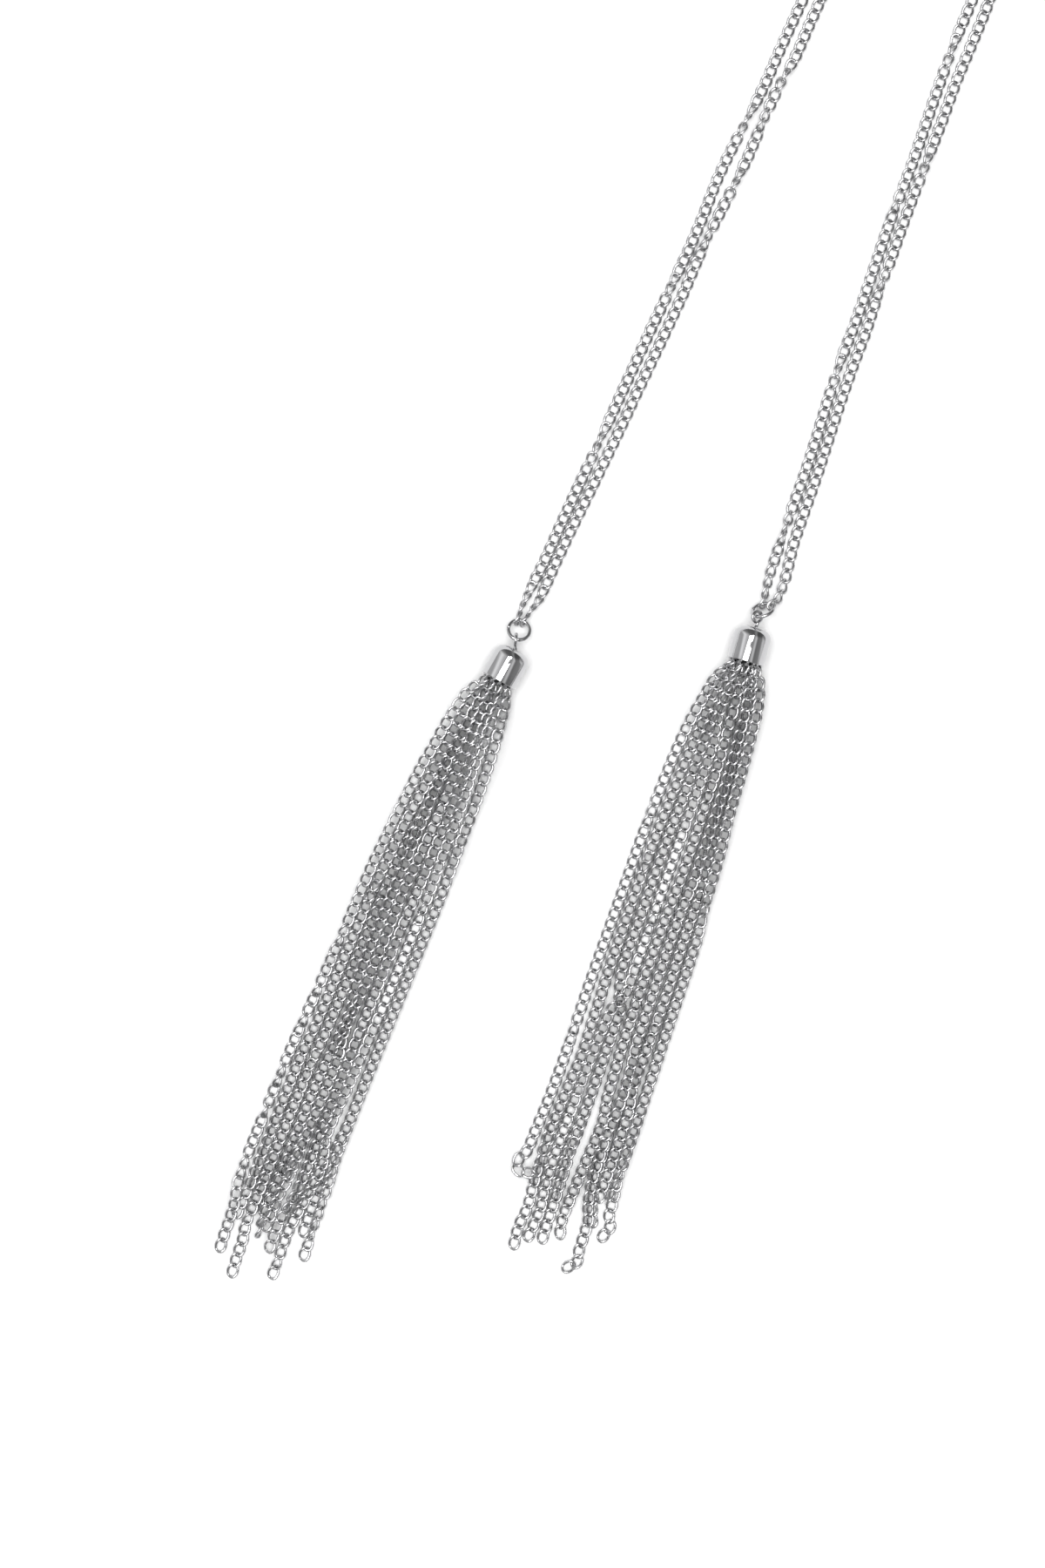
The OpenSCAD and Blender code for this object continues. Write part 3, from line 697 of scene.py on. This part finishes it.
class LARIAT_OT_tassels(Operator):
    """Lay the loose chain strands of both tassels, and tie their upper ends in the caps."""
    bl_idname = "lariat.tassels"
    bl_label = "Tassels"

    # Strands in the lower layer, and where and over what length they stray
    lower = 6
    stray_from, stray_length = 98, 18
    # A strand's root in the cap: how far in, and its place as a share of that at the rim
    root_depth, root_share = 3.0, 0.85
    # Roll of the links at the rim, and how far down it ends near the middle and further out
    lean = 65
    settling, outer_settling, outer_from = 12, 8, 2.2
    # Distance from the rim over which turns and crossings come to their full height
    calm = 10
    # Random turns: distance from one to the next, least and greatest angle
    loose = (60, 25, 55)
    # Slow and quick sway of the rolls: angle and length of each
    small_rolls = ((3.5, 7.0), (2.5, 2.9))
    # How close crossing links lie, across and in height, and a strand's steepest fall
    nesting, stacking = 0.92, 0.95
    steepest = 0.32
    # Heights between which a pile's links are pressed ever closer, and the least share of their
    # own height that is left to them
    pressed_from, pressed_to, least_share = 4, 8, 0.4
    # Middle height of the cap's mouth, how far round it the strands lie, as a share of the
    # round's radius, and how far from the mouth they come down
    mouth_height, mouth_round, mouth_radius = 4.0, 0.5, 3.0
    drop_length = 17.0
    # Coil that ties the roots: turns, the first one's height, step, radius, wire, slant
    coil = (6, 2.2, 0.5, 2.45, 0.3, 4)

    def execute(self, context):
        scene = context.scene
        links = scene.lariat_links
        link = model_link(links)
        for end in ("left", "right"):
            laid = np.empty((0, 5))
            for number, route in enumerate(STRANDS[end]):
                chance = random.Random(f"{end} strand {number}")
                if number < self.lower:
                    above, short, stray = route
                    route = STRANDS[end][above]
                else:
                    short = stray = 0
                centres, rolls = self.lay(end, number, route, short, stray, laid, links, chance)
                sizes = (link_half_height(links, rolls), link_half_breadth(links, rolls))
                laid = np.vstack([laid, between(np.column_stack([centres, *sizes]))])
                places = self.to_frame(end, centres)
                sides = rolled_sides(directions(places), rolls)
                strand = string_links(link, places, sides, chance)
                finish_piece(strand, f"tassel_{end}_strand_{number + 1:02d}",
                             "Tassel link silver", "tassel_chain", f"tassel_{end}")
            self.tie(end)
        bpy.data.objects.remove(link)
        return {"FINISHED"}

    def lay(self, end, number, route, short, stray, laid, links, chance):
        """Places and rolls of a strand's links in the tassel's frame, over the earlier ones."""
        pitch, upper = links.pitch / MM, number >= self.lower
        route = np.array(route, float)
        at_rim = route[0, 1]
        root = (-self.root_depth, at_rim * self.root_share)
        corners = np.vstack([root, route])[:, ::-1].copy()
        corners[-1] -= unit(corners[-1] - corners[-2]) * (links.length / MM / 2)
        stops = walk(smooth_line(corners), pitch)
        stops = stops[:len(stops) - short]
        across, down = stops.T
        across = across + stray * np.clip((down - self.stray_from) / self.stray_length, 0, 1)
        run = np.arange(len(stops)) * pitch
        turns = STRAND_TURNS.get((end, number), ())
        if upper and not turns:
            turns = loose_turns(chance, run[-1], *self.loose)
        rolls = humps(run - self.root_depth, turns) * np.clip((down - self.calm) / self.calm, 0, 1)
        lean = self.lean if number % 2 else -self.lean
        settling = self.outer_settling if abs(at_rim) > self.outer_from else self.settling
        rolls += lean * np.clip(1 - down / settling, 0, 1)
        add_small_rolls(rolls, chance, run, number, *self.small_rolls)
        half, breadth = link_half_height(links, rolls), link_half_breadth(links, rolls)
        floor = self.pile(across, down, half, breadth, laid)
        rise = self.mouth_round * math.sqrt(max(0, self.mouth_radius ** 2 - at_rim ** 2))
        mouth = self.mouth_height + (rise if upper else -rise)
        drop = half + (mouth - half) * np.clip(1 - down / self.drop_length, 0, 1) ** 2
        drop = np.where(down < 0, mouth, drop)
        heights = draped(np.maximum(floor, drop), pitch, self.steepest)
        inner = np.clip(down / self.calm, 0, 1)
        heights = np.minimum(heights, drop + (heights - drop) * inner)
        return np.column_stack([across, -down, heights]), rolls

    def pile(self, across, down, half, breadth, laid):
        """Least heights at which a strand's links clear the table and the links below them."""
        floor = half.copy()
        for x, y, z, half_height, half_breadth in laid:
            apart = np.hypot(across - x, down + y)
            reach = (breadth + half_breadth) * self.nesting
            near = np.clip(1 - (apart / reach) ** 2, 0, 1)
            press = (self.pressed_to - z) / (self.pressed_to - self.pressed_from)
            lift = ((half + half_height) * self.stacking * np.sqrt(near)
                    * min(1, max(self.least_share, press)))
            floor = np.maximum(floor, np.where(near > 0, z + lift, 0))
        return np.where(down > self.root_depth, floor, 0)

    def to_frame(self, end, points):
        """Points of the tassel's own frame in the frame of the part."""
        rim, _, turn = ENDS[end]
        c, s = math.cos(math.radians(turn)), math.sin(math.radians(turn))
        return np.column_stack([
            rim[0] + points[:, 0] * c - points[:, 1] * s,
            rim[1] + points[:, 0] * s + points[:, 1] * c,
            points[:, 2]])

    def tie(self, end):
        """A coil of wire inside the cap that binds the strands' upper ends."""
        count, height, step, radius, wire, slant = self.coil
        clear_selection()
        coils = []
        for turn in range(count):
            bpy.ops.mesh.primitive_torus_add(
                major_segments=32, minor_segments=8, major_radius=radius * MM,
                minor_radius=wire * MM, location=(0, 0, (height + step * turn) * MM),
                rotation=(math.radians(slant), 0, 0))
            coils.append(bpy.context.object)
        for coil in coils:
            coil.select_set(True)
        bpy.ops.object.transform_apply(location=True, rotation=True, scale=True)
        bpy.ops.object.join()
        tie = bpy.context.object
        bpy.ops.object.shade_smooth()
        put_in_place(tie, cap_place(end))
        finish_piece(tie, f"tassel_{end}_binding", "Round wire silver", "tassel_chain",
                     f"tassel_{end}")


def weld_outwards(threshold=1e-7):
    """Joins doubled corners of the mesh in edit mode and turns its faces outwards."""
    bpy.ops.mesh.select_all(action="SELECT")
    bpy.ops.mesh.remove_doubles(threshold=threshold)
    bpy.ops.mesh.normals_make_consistent(inside=False)
    bpy.ops.object.mode_set(mode="OBJECT")


def cap_place(end):
    """Puts what is modelled upright on the origin into a cap, with Z along the cap's axis."""
    rim, turn, _ = ENDS[end]
    return placing(Vector(rim) * MM, (turn, "Z"), (-90, "X"))


class LARIAT_OT_jump_rings(Operator):
    """Model the jump rings: round wire, bent round, with its cut ends side by side."""
    bl_idname = "lariat.jump_rings"
    bl_label = "Jump Rings"

    # How far the cut ends are bent past each other
    offset = 0.00012

    def execute(self, context):
        for end, (centre, turn, tilt, _, slit) in RINGS.items():
            ring = self.bend(context.scene.lariat_findings)
            place = placing(Vector(centre) * MM, (turn, "Z"), (-tilt, "X"), (slit, "Z"))
            put_in_place(ring, place)
            finish_piece(ring, f"jump_ring_{end}_wire", "Round wire silver", "ring_wire",
                         f"jump_ring_{end}")
        return {"FINISHED"}

    def bend(self, sizes):
        """A round of wire spun from its cut end, a little out of true at the cut."""
        clear_selection()
        radius = (sizes.ring_diameter - sizes.ring_wire) / 2
        half = sizes.ring_slit / 2
        bpy.ops.mesh.primitive_circle_add(
            vertices=16, radius=sizes.ring_wire / 2, fill_type="NGON",
            location=(radius * math.cos(half), radius * math.sin(half), 0),
            rotation=(math.radians(90), 0, half))
        ring = bpy.context.object
        bpy.ops.object.transform_apply(location=True, rotation=True, scale=True)
        bpy.ops.object.mode_set(mode="EDIT")
        bpy.ops.mesh.select_all(action="SELECT")
        bpy.ops.mesh.spin(steps=72, angle=math.tau - 2 * half, center=(0, 0, 0), axis=(0, 0, 1),
                          dupli=False)
        weld_outwards()
        for corner in ring.data.vertices:
            angle = math.atan2(corner.co.y, corner.co.x) % math.tau
            corner.co.z += self.offset * (angle / math.tau - 0.5)
        bpy.ops.object.shade_smooth_by_angle(angle=math.radians(40))
        apply_modifier(ring, "Worn edge", "BEVEL", width=0.00005, segments=2,
                       limit_method="ANGLE", angle_limit=math.radians(50))
        return ring


class LARIAT_OT_eye_pins(Operator):
    """Model the eye pins: a loop and a shank of one wire, through the top of the cap."""
    bl_idname = "lariat.eye_pins"
    bl_label = "Eye Pins"

    # Heights above the cap's rim of the wire's hidden end and of the next point of its line
    shank = (3.2, 5.5)
    # Distances of the two bends between shank and loop from the loop's wire, and how much of
    # the first one's place comes from the cap's axis
    bends, axis_share = (0.9, 0.42), 0.6
    # Angle at which the loop starts, its sweep, and the steps that it takes
    start, sweep, steps = -74, 318, 40
    # How much narrower the loop is drawn in at its foot
    egg = 0.45

    def execute(self, context):
        for end in EYES:
            pin = self.bend(end, context.scene.lariat_findings)
            finish_piece(pin, f"eye_pin_{end}_wire", "Round wire silver", "ring_wire",
                         f"eye_pin_{end}")
        return {"FINISHED"}

    def bend(self, end, sizes):
        """The wire's line from the foot of the shank round the loop, made a round wire."""
        centre, turn, roll, bend = EYES[end]
        radius = (sizes.eye_diameter - sizes.eye_wire) / 2 / MM
        loop = placing(centre, (turn, "Z"), (roll, "Y"))
        cap = cap_place(end)
        points = [cap @ Vector((0, 0, along * MM)) / MM for along in (*self.shank, bend - 0.5)]
        first, second = (loop @ Vector((0, -radius - apart, 0)) for apart in self.bends)
        axis_point = cap @ Vector((0, 0, bend * MM)) / MM
        points.append(axis_point * self.axis_share + first * (1 - self.axis_share))
        points.append(second)
        for step in range(self.steps + 1):
            angle = math.radians(self.start + self.sweep * step / self.steps)
            low = max(0.0, -math.sin(angle)) ** 2
            points.append(loop @ Vector((radius * math.cos(angle) * (1 - self.egg * low),
                                         radius * math.sin(angle), 0)))
        clear_selection()
        bpy.ops.curve.primitive_nurbs_path_add(location=(0, 0, 0))
        pin = bpy.context.object
        curve = pin.data
        curve.splines.clear()
        line = curve.splines.new("NURBS")
        line.points.add(len(points) - 1)
        for knot, point in zip(line.points, points):
            knot.co = (*(Vector(point) * MM), 1)
        line.use_endpoint_u = True
        line.order_u = 4
        curve.resolution_u = 4
        curve.dimensions = "3D"
        curve.bevel_depth = sizes.eye_wire / 2
        curve.bevel_resolution = 4
        curve.use_fill_caps = True
        bpy.ops.object.convert(target="MESH")
        pin = bpy.context.object
        bpy.ops.object.mode_set(mode="EDIT")
        weld_outwards()
        bpy.ops.object.shade_smooth_by_angle(angle=math.radians(40))
        return pin


class LARIAT_OT_bell_caps(Operator):
    """Model the bell caps: a drawn cup of thin sheet with a round shoulder and a hole."""
    bl_idname = "lariat.bell_caps"
    bl_label = "Bell Caps"

    # Breadth of the first flat ring inside the shoulder
    flat = 0.0005
    # How near a corner has to be to count as part of the edge that is drawn on
    touch = 1e-6

    def execute(self, context):
        for end in ENDS:
            cap = self.draw_cup(context.scene.lariat_findings)
            put_in_place(cap, cap_place(end))
            finish_piece(cap, f"bell_cap_{end}_shell", "Bell cap silver", "bell_cap",
                         f"bell_cap_{end}")
        return {"FINISHED"}

    def draw_cup(self, sizes):
        """The cup upright on its rim: a tube whose top edge is drawn in over the shoulder."""
        clear_selection()
        radius, shoulder = sizes.cap_diameter / 2, sizes.cap_shoulder
        straight = sizes.cap_height - shoulder
        bpy.ops.mesh.primitive_cylinder_add(
            vertices=72, radius=radius, depth=straight, end_fill_type="NOTHING",
            location=(0, 0, straight / 2))
        cap = bpy.context.object
        bpy.ops.object.transform_apply(location=True, rotation=True, scale=True)
        bpy.ops.object.mode_set(mode="EDIT")
        bpy.context.tool_settings.mesh_select_mode = (True, False, False)
        top, reach = straight, radius
        outline = [(radius - shoulder + shoulder * math.cos(math.radians(a)),
                    straight + shoulder * math.sin(math.radians(a))) for a in range(10, 91, 10)]
        outline += [(radius - shoulder - self.flat, sizes.cap_height),
                    (sizes.cap_hole / 2, sizes.cap_height)]
        for ring, height in outline:
            select_corners(cap, lambda co: (co.z > top - self.touch
                                            and co.xy.length < reach + self.touch))
            bpy.ops.mesh.extrude_region_move(
                TRANSFORM_OT_translate={"value": (0, 0, height - top)})
            bpy.ops.transform.resize(value=(ring / reach, ring / reach, 1),
                                     center_override=(0, 0, height))
            top, reach = height, ring
        weld_outwards()
        apply_modifier(cap, "Sheet", "SOLIDIFY", thickness=sizes.cap_wall, offset=-1)
        apply_modifier(cap, "Rim", "BEVEL", width=0.00012, segments=3, limit_method="ANGLE",
                       angle_limit=math.radians(50))
        bpy.ops.object.shade_smooth_by_angle(angle=math.radians(35))
        return cap


class LARIAT_OT_stage(Operator):
    """Set the pale table, the soft lights and the camera straight above."""
    bl_idname = "lariat.stage"
    bl_label = "Table, Lights and Camera"

    # Point of the table under the camera, and turn of the picture against the part
    aim = (-10.6, -174.5)
    turn = 22
    # Brightness of the room from the picture's left, -1, to its right, 1, and at both edges
    room = ((-0.85, 0.45), (-0.7, 1.0), (-0.45, 0.6), (-0.2, 0.35), (0.2, 0.3), (0.45, 0.7),
            (0.6, 0.2), (0.85, 0.25), (0.95, 0.7))
    room_edge = 0.5
    # How the room darkens towards both ends of the part's Y axis
    dimming = {"From Min": 0.2, "From Max": 0.55, "To Min": 1.0, "To Max": 0.4}
    # Corners of the soft lights, in metres, and their height. Only the metal mirrors them
    softboxes = (("Softbox left", (-0.33, -0.50), (-0.05, 0.12)),
                 ("Softbox near", (-0.05, -0.50), (0.20, -0.145)),
                 ("Softbox far", (-0.06, -0.04), (0.10, 0.28)))
    softbox_height = 1.0
    # Side and height of the wide cloth above all. It lights the table, and no metal mirrors it
    cloth_side, cloth_height = 1.4, 1.6

    def execute(self, context):
        look = context.scene.lariat_studio
        self.table(look)
        self.room_light(look)
        self.lamps(look)
        self.camera(context, look)
        return {"FINISHED"}

    def table(self, look):
        """A pale sheet with a faint grain."""
        clear_selection()
        bpy.ops.mesh.primitive_plane_add(size=6, location=(0, 0, 0))
        table = bpy.context.object
        table.name = "table_top"
        bpy.ops.object.mode_set(mode="EDIT")
        bpy.ops.mesh.select_all(action="SELECT")
        bpy.ops.mesh.subdivide(number_cuts=3)
        bpy.ops.object.mode_set(mode="OBJECT")
        material = bpy.data.materials.new("Pale table")
        material.use_nodes = True
        tree = material.node_tree
        place = add_node(tree, "TexCoord").outputs["Object"]
        grain = add_node(tree, "TexNoise", {"Vector": place, "Scale": 60})
        colour = add_node(tree, "Mix", {
            "Factor": grain.outputs["Fac"], "A": (*look.table, 1),
            "B": (*(c * 0.985 for c in look.table), 1)}, data_type="RGBA")
        fill_inputs(tree, tree.nodes["Principled BSDF"], {
            "Base Color": colour.outputs["Result"], "Roughness": 0.7,
            "Specular IOR Level": 0.15})
        table.data.materials.append(material)

    def room_light(self, look):
        """Soft light from all round, brighter from some sides than from others."""
        world = bpy.data.worlds.new("Soft room")
        bpy.context.scene.world = world
        world.use_nodes = True
        tree, turn = world.node_tree, math.radians(self.turn)
        place = add_node(tree, "TexCoord").outputs["Generated"]
        across = add_node(tree, "VectorMath", {
            0: place, 1: (math.cos(turn), math.sin(turn), 0)}, operation="DOT_PRODUCT")
        spread = add_node(tree, "MapRange", {"Value": across.outputs["Value"], "From Min": -1})
        walls = add_node(tree, "ValToRGB", {"Fac": spread.outputs["Result"]})
        stops = walls.color_ramp.elements
        walls.color_ramp.interpolation = "EASE"
        for at, grey in self.room:
            stops.new((at + 1) / 2).color = (grey, grey, grey, 1)
        for stop in (stops[0], stops[-1]):
            stop.color = (self.room_edge,) * 3 + (1,)
        way = add_node(tree, "SeparateXYZ", {"Vector": place})
        far = add_node(tree, "Math", {0: way.outputs["Y"]}, operation="ABSOLUTE")
        dim = add_node(tree, "MapRange", {"Value": far.outputs[0], **self.dimming})
        room = add_node(tree, "VectorMath", {
            0: walls.outputs["Color"], "Scale": dim.outputs["Result"]}, operation="SCALE")
        fill_inputs(tree, tree.nodes["Background"], {
            "Color": room.outputs["Vector"], "Strength": look.ambient})

    def lamps(self, look):
        """The soft lights that the metal mirrors, and the cloth that lights the table."""
        for name, low, high in self.softboxes:
            centre = ((low[0] + high[0]) / 2, (low[1] + high[1]) / 2, self.softbox_height)
            lamp = self.hang(name, centre, high[0] - low[0], high[1] - low[1], look.softbox)
            lamp.visible_diffuse = False
        centre = (self.aim[0] * MM, self.aim[1] * MM, self.cloth_height)
        lamp = self.hang("Cloth above", centre, self.cloth_side, self.cloth_side, look.cloth)
        lamp.visible_glossy = False

    def hang(self, name, centre, width, depth, brightness):
        """A flat light that faces the table."""
        light = bpy.data.lights.new(name, "AREA")
        light.shape = "RECTANGLE"
        light.size, light.size_y = width, depth
        light.energy = brightness * math.pi * light.size * light.size_y
        lamp = bpy.data.objects.new(name, light)
        lamp.location = centre
        bpy.context.collection.objects.link(lamp)
        return lamp

    def camera(self, context, look):
        """The camera straight above its aim, turned as the photo is."""
        lens = bpy.data.cameras.new("Camera above")
        lens.lens = 85
        lens.sensor_width = 36
        lens.sensor_fit = "AUTO"
        camera = bpy.data.objects.new("Camera above", lens)
        camera.location = (self.aim[0] * MM, self.aim[1] * MM, look.distance)
        camera.rotation_euler = (0, 0, math.radians(self.turn))
        context.collection.objects.link(camera)
        context.scene.camera = camera
        context.scene.view_settings.view_transform = "Standard"


class LARIAT_PT_panel(Panel):
    """The necklace's sizes, finish and pieces."""
    bl_idname = "LARIAT_PT_panel"
    bl_label = "Lariat Necklace"
    bl_space_type = "VIEW_3D"
    bl_region_type = "UI"
    bl_category = "Lariat"

    def draw(self, context):
        scene, layout = context.scene, self.layout
        for name, title, _ in SETTINGS:
            group, box = getattr(scene, name), layout.box()
            box.label(text=title)
            for setting in group.__annotations__:
                box.prop(group, setting)
        for operator in PIECES:
            layout.operator(operator.bl_idname)


SETTINGS = (
    ("lariat_links", "Curb links", CurbLinkSizes), ("lariat_findings", "Findings", FindingSizes),
    ("lariat_finish", "Finish", SilverFinish), ("lariat_studio", "Studio", StudioLook))
PIECES = (LARIAT_OT_stage, LARIAT_OT_neck_chains, LARIAT_OT_jump_rings, LARIAT_OT_eye_pins,
          LARIAT_OT_bell_caps, LARIAT_OT_tassels)


def register():
    for name, _, group in SETTINGS:
        bpy.utils.register_class(group)
        setattr(bpy.types.Scene, name, PointerProperty(type=group))
    for kind in (*PIECES, LARIAT_PT_panel):
        bpy.utils.register_class(kind)


def unregister():
    for kind in (LARIAT_PT_panel, *reversed(PIECES)):
        bpy.utils.unregister_class(kind)
    for name, _, group in reversed(SETTINGS):
        delattr(bpy.types.Scene, name)
        bpy.utils.unregister_class(group)


def main():
    register()
    bpy.ops.lariat.stage()
    bpy.ops.lariat.neck_chains()
    bpy.ops.lariat.jump_rings()
    bpy.ops.lariat.eye_pins()
    bpy.ops.lariat.bell_caps()
    bpy.ops.lariat.tassels()


if __name__ == "__main__":
    main()
